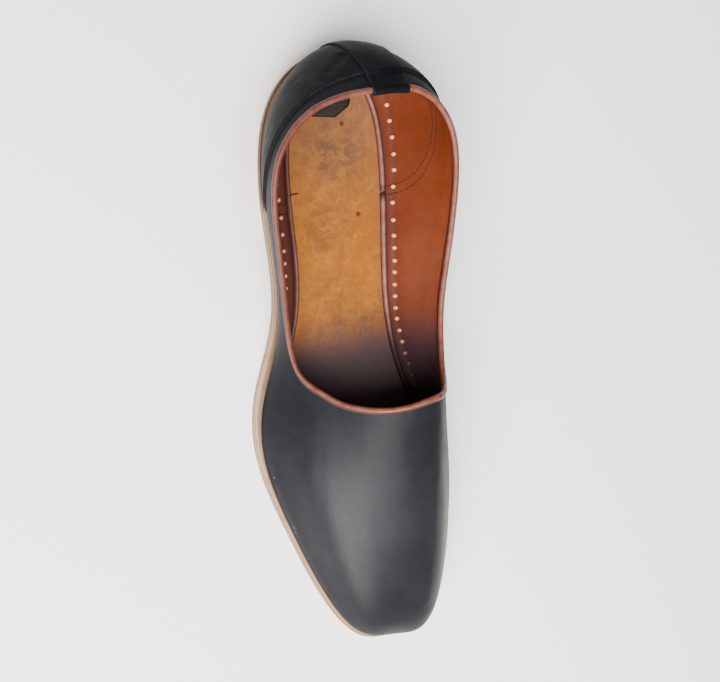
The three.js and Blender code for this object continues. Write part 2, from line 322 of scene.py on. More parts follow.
def inner_skin(t, v, share, offset=0.0):
    """A layer inside the wall: share 0 is the outer face and 1 the lining's face."""
    points = outside(t, v)
    fillet = FOOT_FILLET + OUTER_FILLET * outer_side(t)
    above = (v - FILLET_START) / (FILLET_END - FILLET_START)
    padding = fillet * (1 - smooth_step(above)) * share
    depth = (
        wall_at(t, v) * share + offset + padding
        - relief(t, v, points) * (1 - 0.5 * share))
    return points - outwards(t, v) * np.asarray(depth)[..., None]


# Meshes

# Lines round the shoe in each of its closed pieces
LINES = 400
# How far in from its arrises the sole is creased
EDGE_CREASE = 0.6
WELD_DISTANCE = 0.002
SHORTEST_EDGE = 0.0005


def find_shift():
    """Moves the raw frame, with the heel tip at y = 0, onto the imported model."""
    edge = sole_edge(np.linspace(0, ROUND, 4001), 0)
    low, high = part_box("outsole")
    middle = (np.array(low[:2]) + np.array(high[:2])) / 2 / MM
    return np.array((*(middle - (edge.min(0) + edge.max(0)) / 2), 0.0))


SHIFT = find_shift()


def placed(name, data):
    thing = bpy.data.objects.new(name, data)
    bpy.context.collection.objects.link(thing)
    return thing


def make_piece(name, points, faces, attributes):
    mesh = bpy.data.meshes.new(name)
    mesh.from_pydata(((points + SHIFT) * MM).tolist(), [], faces)
    for key, values in attributes.items():
        layer = mesh.attributes.new(key, "FLOAT", "POINT")
        layer.data.foreach_set("value", np.asarray(values, np.float32).ravel())
    work = bmesh.new()
    work.from_mesh(mesh)
    bmesh.ops.remove_doubles(work, verts=work.verts, dist=WELD_DISTANCE * MM)
    bmesh.ops.dissolve_degenerate(work, edges=work.edges, dist=SHORTEST_EDGE * MM)
    bmesh.ops.recalc_face_normals(work, faces=work.faces)
    work.to_mesh(mesh)
    work.free()
    mesh.shade_smooth()
    return placed(name, mesh)


def ring_faces(lines, rows, is_ring, is_loop=True):
    """Quads of a grid: its lines may close into a ring, and its rows into a loop."""
    faces = []
    for i in range(lines if is_ring else lines - 1):
        here = i * rows
        there = ((i + 1) % lines) * rows
        for k in range(rows if is_loop else rows - 1):
            after = (k + 1) % rows
            faces.append((here + k, there + k, there + after, here + after))
    return faces


def bar_faces(lines, rows):
    """Faces of a bar with closed sections, capped at both ends."""
    faces = ring_faces(lines, rows, False)
    faces.append(tuple(range(rows)))
    faces.append(tuple((lines - 1) * rows + k for k in reversed(range(rows))))
    return faces


def sweep(name, sections, is_ring, attributes):
    """A closed body from closed sections, joined into a ring or capped at both ends."""
    lines, rows = sections.shape[:2]
    faces = ring_faces(lines, rows, True) if is_ring else bar_faces(lines, rows)
    return make_piece(name, sections.reshape(-1, 3), faces, attributes)


def sheet(name, outer, inner, attributes):
    """A closed body between two open skins with the same lines and rows."""
    sections = np.concatenate((outer, inner[:, ::-1]), axis=1)
    both = {key: np.concatenate((a, a[:, ::-1]), axis=1) for key, a in attributes.items()}
    lines, rows = outer.shape[:2]
    faces = ring_faces(lines, 2 * rows, False)
    for i in (0, lines - 1):
        for k in range(rows - 1):
            corner = i * 2 * rows
            far = 2 * rows - 1
            faces.append((corner + k, corner + k + 1, corner + far - k - 1, corner + far - k))
    return make_piece(name, sections.reshape(-1, 3), faces, both)


def round_lines():
    return (np.arange(LINES) * (ROUND / LINES))[:, None]


def crowded(count, power):
    """Shares from 0 to 1, closer together towards both ends."""
    s = np.linspace(-1, 1, count)
    return (1 + np.sign(s) * (1 - (1 - np.abs(s)) ** power)) / 2


# Materials

def colour(code):
    """A hex code as linear light."""
    values = [int(code[k:k + 2], 16) / 255 for k in (1, 3, 5)]
    linear = [c / 12.92 if c <= 0.04045 else ((c + 0.055) / 1.055) ** 2.4 for c in values]
    return (*linear, 1.0)


class Finish:
    """A material's nodes, built step by step from the object's own coordinates in metres."""

    def __init__(self, name, roughness=0.6, specular=0.5):
        self.material = bpy.data.materials.new(name)
        self.material.use_nodes = True
        self.tree = self.material.node_tree
        self.shader = self.tree.nodes["Principled BSDF"]
        self.shader.inputs["Roughness"].default_value = roughness
        self.shader.inputs["Specular IOR Level"].default_value = specular
        self.place = self.tree.nodes.new("ShaderNodeTexCoord").outputs["Object"]
        self.height = None

    def node(self, kind, inputs=None, **settings):
        made = self.tree.nodes.new(kind)
        for key, value in settings.items():
            setattr(made, key, value)
        for key, value in (inputs or {}).items():
            if isinstance(value, bpy.types.NodeSocket):
                self.tree.links.new(value, made.inputs[key])
            else:
                made.inputs[key].default_value = value
        return made

    def noise(self, size, detail=3.0, rough=0.55, stretch=None, shift=0.0):
        """Cloudy noise whose features measure size in metres."""
        place = self.place
        if stretch:
            mapping = self.node("ShaderNodeMapping", {"Vector": place, "Scale": stretch})
            place = mapping.outputs["Vector"]
        inputs = {
            "Vector": place, "Scale": 1 / size, "Detail": detail, "Roughness": rough,
            "Distortion": shift,
        }
        return self.node("ShaderNodeTexNoise", inputs).outputs["Fac"]

    def cells(self, size):
        """Soft rounded cells whose width is size in metres."""
        inputs = {"Vector": self.place, "Scale": 1 / size, "Smoothness": 0.4}
        made = self.node("ShaderNodeTexVoronoi", inputs, feature="SMOOTH_F1")
        return made.outputs["Distance"]

    def attribute(self, name):
        return self.node("ShaderNodeAttribute", attribute_name=name).outputs["Fac"]

    def remap(self, value, low, high, to_low=0.0, to_high=1.0):
        inputs = {
            "Value": value, "From Min": low, "From Max": high,
            "To Min": to_low, "To Max": to_high,
        }
        made = self.node("ShaderNodeMapRange", inputs, interpolation_type="SMOOTHSTEP")
        return made.outputs["Result"]

    def product(self, first, second):
        made = self.node("ShaderNodeMath", {0: first, 1: second}, operation="MULTIPLY")
        return made.outputs["Value"]

    def mix(self, factor, first, second):
        made = self.node("ShaderNodeMix", {0: factor, 6: first, 7: second}, data_type="RGBA")
        return made.outputs[2]

    def blend(self, value, deep, pale, low=0.3, high=0.7):
        """A base colour that drifts between two colours as a value goes from low to high."""
        return self.mix(self.remap(value, low, high), colour(deep), colour(pale))

    def tint(self, base, code, amount):
            return self.mix(amount, base, colour(code))

    def cloud(self, base, code, value, low, high, most):
        """Lays a colour over the base where a value is high, and at most so much of it."""
        return self.tint(base, code, self.remap(value, low, high, 0.0, most))

    def spot(self, centre, radius, blur):
        """1 within a radius of a place, 0 outside, with a soft edge."""
        inputs = {0: self.place, 1: centre}
        distance = self.node(
            "ShaderNodeVectorMath", inputs, operation="DISTANCE").outputs["Value"]
        return self.remap(distance, radius, radius + blur, 1.0, 0.0)

    def bump(self, height, depth, strength):
        """Adds a layer of relief, its depth in metres."""
        inputs = {"Height": height, "Distance": depth, "Strength": strength}
        if self.height is not None:
            inputs["Normal"] = self.height
        self.height = self.node("ShaderNodeBump", inputs).outputs["Normal"]

    def done(self, base, roughness=None):
        self.tree.links.new(base, self.shader.inputs["Base Color"])
        if roughness is not None:
            self.tree.links.new(roughness, self.shader.inputs["Roughness"])
        if self.height is not None:
            self.tree.links.new(self.height, self.shader.inputs["Normal"])
            self.tree.links.new(self.height, self.shader.inputs["Coat Normal"])
        return self.material


def pebble_grain(finish, strength):
    """Fine leather grain: rounded cells about half a millimetre wide, and pores between them."""
    finish.bump(finish.cells(0.0007), 0.00012, strength)
    finish.bump(finish.noise(0.00028, 2.0), 0.00005, strength)
    finish.bump(finish.noise(0.0045, 3.0), 0.0005, strength * 0.5)


# Specks of dust on the outer side of the upper, by station and share of the wall's height
SPECKS = ((6.2, 0.19), (6.9, 0.18), (6.97, 0.16))
SPECK_RADIUS = 0.0002
SPECK_BLUR = 0.0007
# The polish on the front of the upper
POLISH_ROUGHNESS = 0.38
POLISH_IOR = 1.24


def polished(finish, base):
    """Adds the coat of polish, and the specks that lie on it."""
    finish.tree.links.new(finish.attribute("gloss"), finish.shader.inputs["Coat Weight"])
    finish.shader.inputs["Coat Roughness"].default_value = POLISH_ROUGHNESS
    finish.shader.inputs["Coat IOR"].default_value = POLISH_IOR
    for t, v in SPECKS:
        place = tuple((outside(t, v) + SHIFT) * MM)
        base = finish.tint(base, "#4c5052", finish.spot(place, SPECK_RADIUS, SPECK_BLUR))
    return base


def black_leather(name, deep, pale, shine, is_polished=False):
    finish = Finish(name, specular=shine)
    clouds = finish.noise(0.05, 4.0, 0.6)
    base = finish.blend(clouds, deep, pale)
    base = finish.cloud(base, "#1a1c21", finish.noise(0.009, 4.0, 0.6), 0.42, 0.75, 0.4)
    dust = finish.remap(finish.noise(0.0022, 5.0, 0.7), 0.5, 0.72)
    dust_places = finish.remap(clouds, 0.4, 0.65, 0.0, 0.3)
    base = finish.tint(base, "#2a2a2b", finish.product(dust, dust_places))
    scuffs = finish.remap(finish.noise(0.0016, 4.0, 0.65), 0.35, 0.6, 0.25, 1.0)
    # Lighter scuffs where worn, and on the counter's edge a painted highlight
    base = finish.tint(base, "#343230", finish.product(finish.attribute("wear_and_highlight"), scuffs))
    # Darker brown at the foot of the upper and of the counter, where they meet the sole
    base = finish.tint(base, "#241a15", finish.attribute("soil_and_shade"))
    if is_polished:
        base = polished(finish, base)
    pebble_grain(finish, 0.25)
    rough = finish.remap(finish.noise(0.012, 4.0), 0.3, 0.7, 0.42, 0.5)
    return finish.done(base, rough)


def lining_leather():
    finish = Finish("lining_leather", specular=0.15)
    base = finish.blend(finish.noise(0.03, 4.0, 0.6), "#53200b", "#5f2912")
    base = finish.cloud(base, "#48200e", finish.noise(0.006, 5.0, 0.65), 0.45, 0.7, 0.35)
    base = finish.cloud(base, "#6d3418", finish.noise(0.0011, 4.0, 0.6), 0.4, 0.75, 0.25)
    # Painted shade from the marks: at the foot, in the channel, low on the outer side and inside the
    # toe
    base = finish.tint(base, "#3c2a2d", finish.attribute("soil_and_shade"))
    pebble_grain(finish, 0.3)
    rough = finish.remap(finish.noise(0.01, 4.0), 0.3, 0.7, 0.5, 0.66)
    return finish.done(base, rough)


def rolled_leather(name, deep, pale):
    finish = Finish(name, specular=0.28)
    # Dark red sides of the bead, partly painted shade; its crest lighter, partly worn leather and
    # partly a painted highlight
    foot = finish.blend(finish.noise(0.012, 4.0, 0.6), "#300e0a", "#3f1610")
    worn_and_highlight = finish.blend(finish.noise(0.004, 4.0), deep, pale, 0.35, 0.65)
    base = finish.mix(finish.attribute("crest"), foot, worn_and_highlight)
    # Painted shade along the binding's legs and inside the toe, and darker cut ends of the bead
    base = finish.tint(base, "#2c1a1a", finish.attribute("soil_and_shade"))
    finish.bump(finish.cells(0.0005), 0.00008, 0.3)
    finish.bump(finish.noise(0.002, 3.0, stretch=(1, 0.35, 1)), 0.0002, 0.3)
    rough = finish.remap(finish.noise(0.006, 3.0), 0.3, 0.7, 0.38, 0.55)
    return finish.done(base, rough)


def insole_leather():
    finish = Finish("insole_leather", specular=0.08)
    base = finish.blend(finish.noise(0.028, 5.0, 0.62), "#834b15", "#955d21", 0.32, 0.68)
    rub = finish.noise(0.014, 5.0, 0.7, shift=0.4)
    base = finish.cloud(base, "#764019", rub, 0.46, 0.66, 0.6)
    pale = finish.noise(0.0065, 5.0, 0.7, shift=0.6)
    base = finish.cloud(base, "#a76e2b", pale, 0.52, 0.7, 0.5)
    grime = finish.remap(finish.noise(0.0075, 6.0, 0.75, shift=0.5), 0.40, 0.62, 0.1, 1.0)
    for centre, radius, strength in GRIME_PATCHES:
        patch = finish.spot(insole_place(*centre), radius * 0.15, radius)
        amount = finish.product(finish.product(patch, grime), strength)
        base = finish.tint(base, "#503826", amount)
    base = finish.cloud(base, "#6e4119", finish.noise(0.0024, 6.0, 0.7), 0.50, 0.68, 0.55)
    # Purple-grey darkening from the marks: along the edge, grime and painted shade towards the heel,
    # painted shade inside the toe
    base = finish.tint(base, "#43383c", finish.attribute("soil_and_shade"))
    for centre, radius in INSOLE_SPOTS:
        dot = finish.spot(insole_place(*centre), radius * 0.3, radius)
        base = finish.tint(base, "#43270f", dot)
    finish.bump(finish.cells(0.0011), 0.00016, 0.4)
    finish.bump(finish.noise(0.0007, 4.0, 0.6), 0.00016, 0.4)
    finish.bump(finish.noise(0.0048, 5.0, 0.65), 0.0007, 0.4)
    rough = finish.remap(rub, 0.3, 0.7, 0.55, 0.75)
    return finish.done(base, rough)


def sole_leather(name, pale, deep, layers):
    finish = Finish(name)
    base = finish.blend(finish.noise(0.02, 4.0, 0.6), pale, deep)
    layer = finish.noise(0.0009, 4.0, 0.6, stretch=(0.05, 0.05, layers))
    base = finish.cloud(base, "#a77c56", layer, 0.42, 0.7, 0.5)
    grime = finish.noise(0.004, 5.0, 0.7)
    base = finish.cloud(base, "#8d6a4c", grime, 0.56, 0.75, 0.5)
    # Darkening from the marks: soil, and painted shade on the outsole's edge round the heel
    base = finish.tint(base, "#4c3424", finish.attribute("soil_and_shade"))
    finish.bump(layer, 0.00025, 0.4)
    finish.bump(finish.noise(0.0004, 4.0, 0.6), 0.0001, 0.4)
    rough = finish.remap(grime, 0.3, 0.7, 0.6, 0.8)
    return finish.done(base, rough)


def thread(name, pale, deep):
    finish = Finish(name, roughness=0.75, specular=0.15)
    twist = finish.noise(0.0005, 3.0, 0.6, stretch=(1, 0.4, 1))
    base = finish.blend(twist, deep, pale, 0.35, 0.65)
    # Painted shade inside the toe
    base = finish.tint(base, "#3a3034", finish.attribute("soil_and_shade"))
    finish.bump(twist, 0.00015, 0.6)
    return finish.done(base)


def floor_finish():
    finish = Finish("pale_floor", roughness=0.9, specular=0.1)
    clouds = finish.noise(0.4, 2.0)
    base = finish.mix(clouds, colour("#f7f7f6"), colour("#f9f9f9"))
    return finish.done(base)


# Painted shade, grime and marks inside the shoe

# Painted shade that darkens the sock, the lining, the bead and the threads inside the toe
TOE_SHADE = 0.95
TOE_SHADE_START = 119
TOE_SHADE_LENGTH = 30
# Small dark spots of the sock: centre, radius in metres
INSOLE_SPOTS = (
    ((-7.6, 33.3), 0.0013),
    ((-11.4, 76.9), 0.0015),
)
# Grimy places of the sock: centre, radius in metres, strength
GRIME_PATCHES = (
    ((-1.7, 44.0), 0.021, 0.85),
    ((5.5, 82.0), 0.016, 0.75),
    ((-8.0, 60.0), 0.018, 0.45),
    ((10.0, 118.0), 0.024, 0.45),
    ((-6.0, 132.0), 0.026, 0.55),
)
PATCH_THICKNESS = 0.45
# Corners of the patch on the sock's heel
PATCH_CORNERS = (
    (-13.6, 20.0), (-12.2, 25.0), (-4.6, 29.8), (7.3, 28.4), (13.5, 22.0), (12.5, 10.0),
    (-12.5, 10.0),
)


# Amount of painted shade inside the toe, by place along the shoe
def toe_shade(y):
    return TOE_SHADE * smooth_step((y - TOE_SHADE_START) / TOE_SHADE_LENGTH)


def insole_place(x, y):
    height = seat(np.array(y)) + SEAT_LIFT
    return tuple((np.array((x, y, float(height))) + SHIFT) * MM)


# The pieces

def finished(piece, material, replaces=()):
    piece.data.materials.append(material)
    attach(piece, "root")
    if replaces:
        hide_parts(*replaces)


def closed_normals(outline):
    along = unit(np.roll(outline, -1, 0) - np.roll(outline, 1, 0))
    return stack(-along[:, 1], along[:, 0])


def spine_of(outline, heel_reach, toe_reach):
    """For each point of an outline, the place on the piece's middle line that it faces."""
    sides = [sole_edge(np.linspace(heel, TOE, 400), 0) for heel in (0, ROUND)]
    y = outline[:, 1]
    low = y.min() + heel_reach
    high = y.max() - toe_reach
    share = np.clip((y - y.min()) / (y.max() - y.min()), 0, 1)
    facing = low + (high - low) * smooth_step((share - 0.02) / 0.96)
    middle = sum(np.interp(facing, side[:, 1], side[:, 0]) for side in sides) / 2
    spine = np.stack((middle, facing), -1)
    mirrored = np.roll(spine[::-1], 1, 0)
    return (spine + mirrored) / 2


def slab(name, outline, spine, top, bottom, profile, soil_and_shade=None, rows=14):
    """A flat-lying piece: its profile gives shares of its height and insets down its edge.

    Marks run from -1 to 0 over the top, from 1 to 0 down the edge and from 1 to 2 underneath.
    """
    inwards = closed_normals(outline)
    upper_edge = outline + inwards * profile[0][1]
    lower_edge = outline + inwards * profile[-1][1]
    shares = crowded(rows, 1.5)[1:]
    rings = []
    for share in shares[::-1]:
        plan = upper_edge + (spine - upper_edge) * share
        rings.append((plan, top(plan[:, 1]), -share))
    for height, inset in profile:
        plan = outline + inwards * inset
        low = bottom(plan[:, 1])
        rings.append((plan, low + (top(plan[:, 1]) - low) * height, height))
    for share in shares:
        plan = lower_edge + (spine - lower_edge) * share
        rings.append((plan, bottom(plan[:, 1]), 1 + share))
    sections = np.stack([np.column_stack((plan, z)) for plan, z, _ in rings], 1)
    marks = np.stack([np.full(len(outline), mark) for _, _, mark in rings], 1)
    # Darkening of the colour from the piece's marks: real soil, and painted shade where the piece
    # gives it
    stain_and_shade = soil_and_shade(sections, marks) if soil_and_shade else np.zeros(marks.shape)
    faces = ring_faces(*sections.shape[:2], True, False)
    return make_piece(name, sections.reshape(-1, 3), faces, {"soil_and_shade": stain_and_shade})


def creased_profile(width, height):
    """The edge of a slab with a fine crease just inside each of its two arrises."""
    steps = 4
    profile = []
    for k in range(steps + 1):
        inset = width * (1 - math.sin(math.pi / 2 * k / steps))
        profile.append((1 - inset / height, inset))
    mirrored = [(1 - share, inset) for share, inset in reversed(profile)]
    return profile + mirrored


def make_outsole(material):
    outline = sole_edge(round_lines()[:, 0], 0)

    def soil_and_shade(points, marks):
        y = points[..., 1] / SHOE_LENGTH
        is_edge = (marks > 0) & (marks <= 1)
        # Painted shade on the edge round the heel
        heel = 0.85 * (1 - smooth_step((y - 0.20) / 0.06))
        # A darker line along the top of the edge
        ledge = np.where(is_edge & (marks > 0.9), 0.35, 0.0)
        hidden = np.where(marks <= 0, 0.8, 0.0)
        tread = np.where(marks > 1, 0.30 * np.exp(-((y - 0.70) / 0.12) ** 2), 0.0)
        return np.clip(ledge + hidden + is_edge * heel + tread, 0, 1)

    profile = creased_profile(EDGE_CREASE, SOLE_THICKNESS)
    spine = spine_of(outline, heel_reach=30, toe_reach=34)
    piece = slab("outsole_leather", outline, spine, seat, underside, profile, soil_and_shade)
    finished(piece, material, ("outsole",))


def make_heel_lift(material):
    front = HEEL_FRONT * SHOE_LENGTH
    t = np.linspace(-COUNTER_REACH * 1.6, COUNTER_REACH * 1.6, 1200)
    edge = sole_edge(t, LIFT_INSET)
    edge = edge[edge[:, 1] < front]
    across = np.linspace(0, 1, 60)[1:-1]
    breast = edge[-1] + (edge[0] - edge[-1]) * across[:, None]
    breast[:, 1] -= BREAST_HOLLOW * np.sin(math.pi * across)
    outline = np.concatenate((edge[::3], breast))
    centre = np.array((edge[:, 0].mean(), front * 0.52))
    spine = np.repeat(centre[None], len(outline), 0)
    layers = 3
    groove = 0.28
    profile = []
    for k in range(layers):
        for share, inset in ((0.0, groove), (0.09, 0.06), (0.2, 0.0), (0.8, 0.0), (0.91, 0.06)):
            height = 1 - (k + share) / layers
            profile.append((height, inset + LIFT_TAPER * (1 - height)))
    profile.append((0.0, groove + LIFT_TAPER))

    def soil_and_shade(points, marks):
        tread_wear = 0.2 + 0.25 * np.exp(-((points[..., 1] - 6) / 16) ** 2)
        return np.where(marks > 1.0, tread_wear, 0.0)

    piece = slab(
        "heel_lift_layers", outline, spine, lambda y: np.full_like(y, HEEL_HEIGHT),
        lambda y: np.zeros_like(y), profile, soil_and_shade)
    finished(piece, material, ("heel_lift",))


def make_insole(material):
    outline = foot_line(round_lines()[:, 0], UPPER_WALL - TUCK)

    def bottom(y):
        return seat(y) + CLEARANCE * 0.2

    def top(y):
        return seat(y) + SEAT_LIFT

    def soil_and_shade(points, marks):
        share = np.maximum(-marks, 0)
        # Darker along the top's edge, by the bead
        edge = np.where(marks < 0, np.exp(-(share / 0.10) ** 1.2), 1.0)
        y = points[..., 1]
        # Darker towards the heel: partly grime, partly painted shade
        heel = 0.45 * (1 - smooth_step((y - 15) / 75))
        # Painted shade inside the toe
        return np.clip(np.maximum(np.maximum(0.6 * edge, heel), toe_shade(y)), 0, 1)

    profile = creased_profile(width=0.5, height=INSOLE_THICKNESS)
    spine = spine_of(outline, heel_reach=28, toe_reach=32)
    piece = slab("insole_sock", outline, spine, top, bottom, profile, soil_and_shade, rows=24)
    finished(piece, material, ("insole",))


def make_rand(material):
    """Rolled bead along the foot of the wall, cut where its two ends meet."""
    joint = -2.97
    gap = 0.012
    overlap = 0.2
    t = np.linspace(joint + gap, joint + ROUND - gap, LINES + 1)
    steps = 16
    centre_inset = UPPER_WALL + OUTER_BEAD_SHIFT * outer_side(t) + RAND_WIDTH / 2 - overlap
    sections = []
    crest = []
    for k in range(steps):
        angle = 2 * math.pi * k / steps
        inset = centre_inset + RAND_WIDTH / 2 * math.cos(angle)
        plan = foot_line(t, inset)
        bulge = max(math.sin(angle), -0.25)
        height = seat(plan[:, 1]) + SEAT_LIFT + RAND_HEIGHT * bulge
        sections.append(np.column_stack((plan, height)))
        crest.append(np.full(len(t), smooth_step((bulge - 0.1) / 0.7)))
    points = np.stack(sections, 1)
    ends = np.minimum(np.arange(len(t)), np.arange(len(t))[::-1])
    # Darker at the two cut ends, and painted shade inside the toe
    soil_and_shade = np.maximum(np.where(ends < 2, 0.7, 0.0)[:, None], toe_shade(points[..., 1]))
    # Painted shade along the outer side and towards the heel dims the crest's painted highlight
    heel = smooth_step((100 - foot_line(t, 0)[:, 1]) / 60)
    crest = np.stack(crest, 1) * (1 - 0.55 * outer_side(t) - 0.2 * heel)[:, None]
    piece = sweep("insole_bead", points, False, {"crest": crest, "soil_and_shade": soil_and_shade})
    finished(piece, material, ("insole_rand",))


def polish(t, v):
    """How much the front of the upper shines: most along its ridge and the toe, none at the sides."""
    outer_end = 5
    inner_end = 12.8
    low = 0.2 * (1 - np.exp(-((t - TOE) / 1.5) ** 2))
    across = smooth_step((t - outer_end) / 3) * smooth_step((inner_end - t) / 1.8)
    below_rim = 0.4 + 0.6 * smooth_step((1 - v) / 0.35)
    return across * smooth_step((v - low) / 0.4) * below_rim


# Rows up the upper, up its lining and up the hidden back of each
UPPER_ROWS = 72
LINING_ROWS = 60
BACK_ROWS = 9
ROW_CROWDING = 1.25
# Where those backs lie in the wall: 0 is its outer face and 1 the lining's face
UPPER_BACK = 0.55
LINING_BACK = 0.5


def beside_back(values):
    """The values of a face's points, and zeros for the hidden back's."""
    return np.concatenate((values, np.zeros((len(values), BACK_ROWS))), 1)


def make_upper(material):
    t = round_lines()
    rises = crowded(UPPER_ROWS, ROW_CROWDING)[None, :]
    face = outer_skin(t, rises, 0.0)
    back = inner_skin(t, np.linspace(1, 0, BACK_ROWS)[None, :], UPPER_BACK)
    foot = 0.8 * np.exp(-(rises * 45 / 1.6) ** 2) * np.ones_like(t)
    marks = {"soil_and_shade": beside_back(foot), "gloss": beside_back(polish(t, rises))}
    piece = sweep("upper_leather", np.concatenate((face, back), 1), True, marks)
    finished(piece, material, ("upper",))


def make_lining(material):
    t = round_lines()
    rises = crowded(LINING_ROWS, ROW_CROWDING)[None, ::-1]
    channel_depth = lining_channel(t, rises)
    face = inner_skin(t, rises, 1.0, -channel_depth)
    back = inner_skin(t, np.linspace(0, 1, BACK_ROWS)[None, :], LINING_BACK)
    height = face[..., 2] - seat(face[..., 1]) - SEAT_LIFT
    # Painted shade where the lining meets the bead
    foot = 0.75 * np.exp(-(np.maximum(height, 0) / 1.8) ** 2)
    # Painted shade in the thread's channel
    channel_shade = 0.3 * channel_depth / CHANNEL_DEPTH
    # Painted shade low on the outer side's lining
    outer = 0.55 * outer_side(t) * smooth_step((0.75 - rises) / 0.3)
    stain_and_shade = np.maximum(np.maximum(foot + channel_shade, outer), toe_shade(face[..., 1]))
    marks = {"soil_and_shade": beside_back(np.clip(stain_and_shade, 0, 1))}
    piece = sweep("lining", np.concatenate((face, back), 1), True, marks)
    finished(piece, material)


def edge_round(distance, radius):
    """Thickness share of a leather's edge that is rounded over a radius."""
    share = np.clip(distance / radius, 0, 1)
    return np.sqrt(1 - (1 - share) ** 2)


def counter_edge_distance(t, v):
    """Distance from a place on the counter to its cut edge, in millimetres."""
    share = np.clip(np.abs(t) / COUNTER_REACH, 0, 1)
    inside = 1 - share ** COUNTER_CORNER - (v / COUNTER_RISE) ** 2
    pull_t = COUNTER_CORNER * share ** (COUNTER_CORNER - 1) / COUNTER_REACH
    pull_v = 2 * v / COUNTER_RISE ** 2
    pace_t = np.linalg.norm(round_slope(t, v), axis=-1)
    pace_v = np.linalg.norm(rise_slope(t, v), axis=-1)
    slope = np.sqrt((pull_t / pace_t) ** 2 + (pull_v / pace_v) ** 2)
    return np.maximum(0, inside) / np.maximum(slope, 1e-4)


def make_counter(material):
    lines = 260
    rows = 56
    crowding = 0.45
    even = np.linspace(-1, 1, lines)
    around = np.sin(even * math.pi / 2) * COUNTER_REACH
    around = (crowding * around + (1 - crowding) * even * COUNTER_REACH)[:, None]
    shares = (1 - (1 - np.linspace(0, 1, rows)) ** 1.5)[None, :]
    top = np.maximum(counter_top(around), COUNTER_LOW_EDGE * 1.01)
    rises = COUNTER_LOW_EDGE * 0.4 + (top - COUNTER_LOW_EDGE * 0.4) * shares
    distance = counter_edge_distance(around, rises)
    thickness = COUNTER_THICKNESS + CLEARANCE
    outer = outer_skin(around, rises, thickness * edge_round(distance, 0.9))
    inner = outer_skin(around, rises, -TUCK)
    # The cut edge is lighter: partly wear, partly a painted highlight
    wear_and_highlight = 0.25 * np.exp(-(distance / 0.8) ** 2)
    foot = np.exp(-(rises * 55 / 1.6) ** 2)
    marks = {"wear_and_highlight": wear_and_highlight, "soil_and_shade": 0.8 * foot}
    piece = sheet("heel_counter_leather", outer, inner, marks)
    finished(piece, material, ("heel_counter",))


# The tab is turned under on itself inside the collar, and stands out this much more there
TAB_PADDING = 1.2


def strip_step(t):
    return counter_top(t) + COUNTER_THICKNESS / rim_speed(t)


def strip_offset(t, v):
    above = (v - strip_step(t)) * rim_speed(t)
    over_counter = COUNTER_THICKNESS + CLEARANCE
    return over_counter * (1 - smooth_step(above / STRIP_RAMP))


def rim_middle(t):
    return outside(t, 1.0) - outwards(t, 1.0) * (RIM_WALL / 2)


def rim_arc(t, radii):
    """Lines over the collar's edge from its outer face to its inner one, one for each radius."""
    normal = outwards(t, 1.0)
    up = unit(rise_slope(t, 1.0))
    line = []
    for k, radius in enumerate(radii, 1):
        angle = math.pi * k / (len(radii) + 1)
        turn = normal * radius * math.cos(angle) + up * radius * math.sin(angle)
        line.append(rim_middle(t) + turn)
    return line


def over_the_rim(t, offset, padding):
    """The tab's line over the collar and down the inside, where padding makes it thicker."""
    steps = 8
    inside_rows = 10
    radii = [(RIM_WALL / 2 + offset + padding * k / steps)[..., None] for k in range(1, steps)]
    line = rim_arc(t, radii)
    for k in range(inside_rows + 1):
        v = below_collar(t, TAB_INSIDE * k / inside_rows)
        thicker = padding * (1 - smooth_step(k / inside_rows))
        line.append(inner_skin(t, v, 1.0, offset + thicker))
    return line


def make_heel_strip(material):
    edge_radius = 0.8
    finer_from = 0.72
    across = np.linspace(-1, 1, 33)
    low = float(above_sole(STRIP_CENTRE, STRIP_FOOT))
    high_rises = np.linspace(finer_from, 1, 30)[1:-1]
    rises = np.concatenate((np.linspace(low, finer_from, 34), high_rises))
    half = STRIP_WIDTH / 2 / np.linalg.norm(round_slope(STRIP_CENTRE, rises), axis=-1)
    top_half = STRIP_WIDTH / 2 / float(np.linalg.norm(round_slope(STRIP_CENTRE, 1.0)))
    from_side = (1 - np.abs(across)) * STRIP_WIDTH / 2
    side = edge_round(from_side, edge_radius)
    worn_and_highlight = np.exp(-(from_side / 0.9) ** 2)

    def skin(thickness):
        lines = []
        for share, edge in zip(across, side):
            t = STRIP_CENTRE + share * half
            foot = edge_round((rises - low) * 50, edge_radius)
            offset = strip_offset(t, rises) - TUCK + thickness * edge * foot
            line = list(outer_skin(t, rises, offset))
            top = np.array(STRIP_CENTRE + share * top_half)
            padding = TAB_PADDING * edge if thickness else 0.0
            line += over_the_rim(top, np.array(-TUCK + thickness * edge), padding)
            lines.append(np.array(line))
        return np.stack(lines, 0)

    outer = skin(STRIP_THICKNESS + TUCK)
    inner = skin(0.0)
    outer[:, -1] = inner[:, -1]
    rows = outer.shape[1]
    wear_and_highlight = np.repeat(0.3 * worn_and_highlight[:, None], rows, 1)
    wear_and_highlight[:, -2:] = 0.4
    piece = sheet("heel_strip_leather", outer, inner, {"wear_and_highlight": wear_and_highlight})
    finished(piece, material, ("heel_strip",))


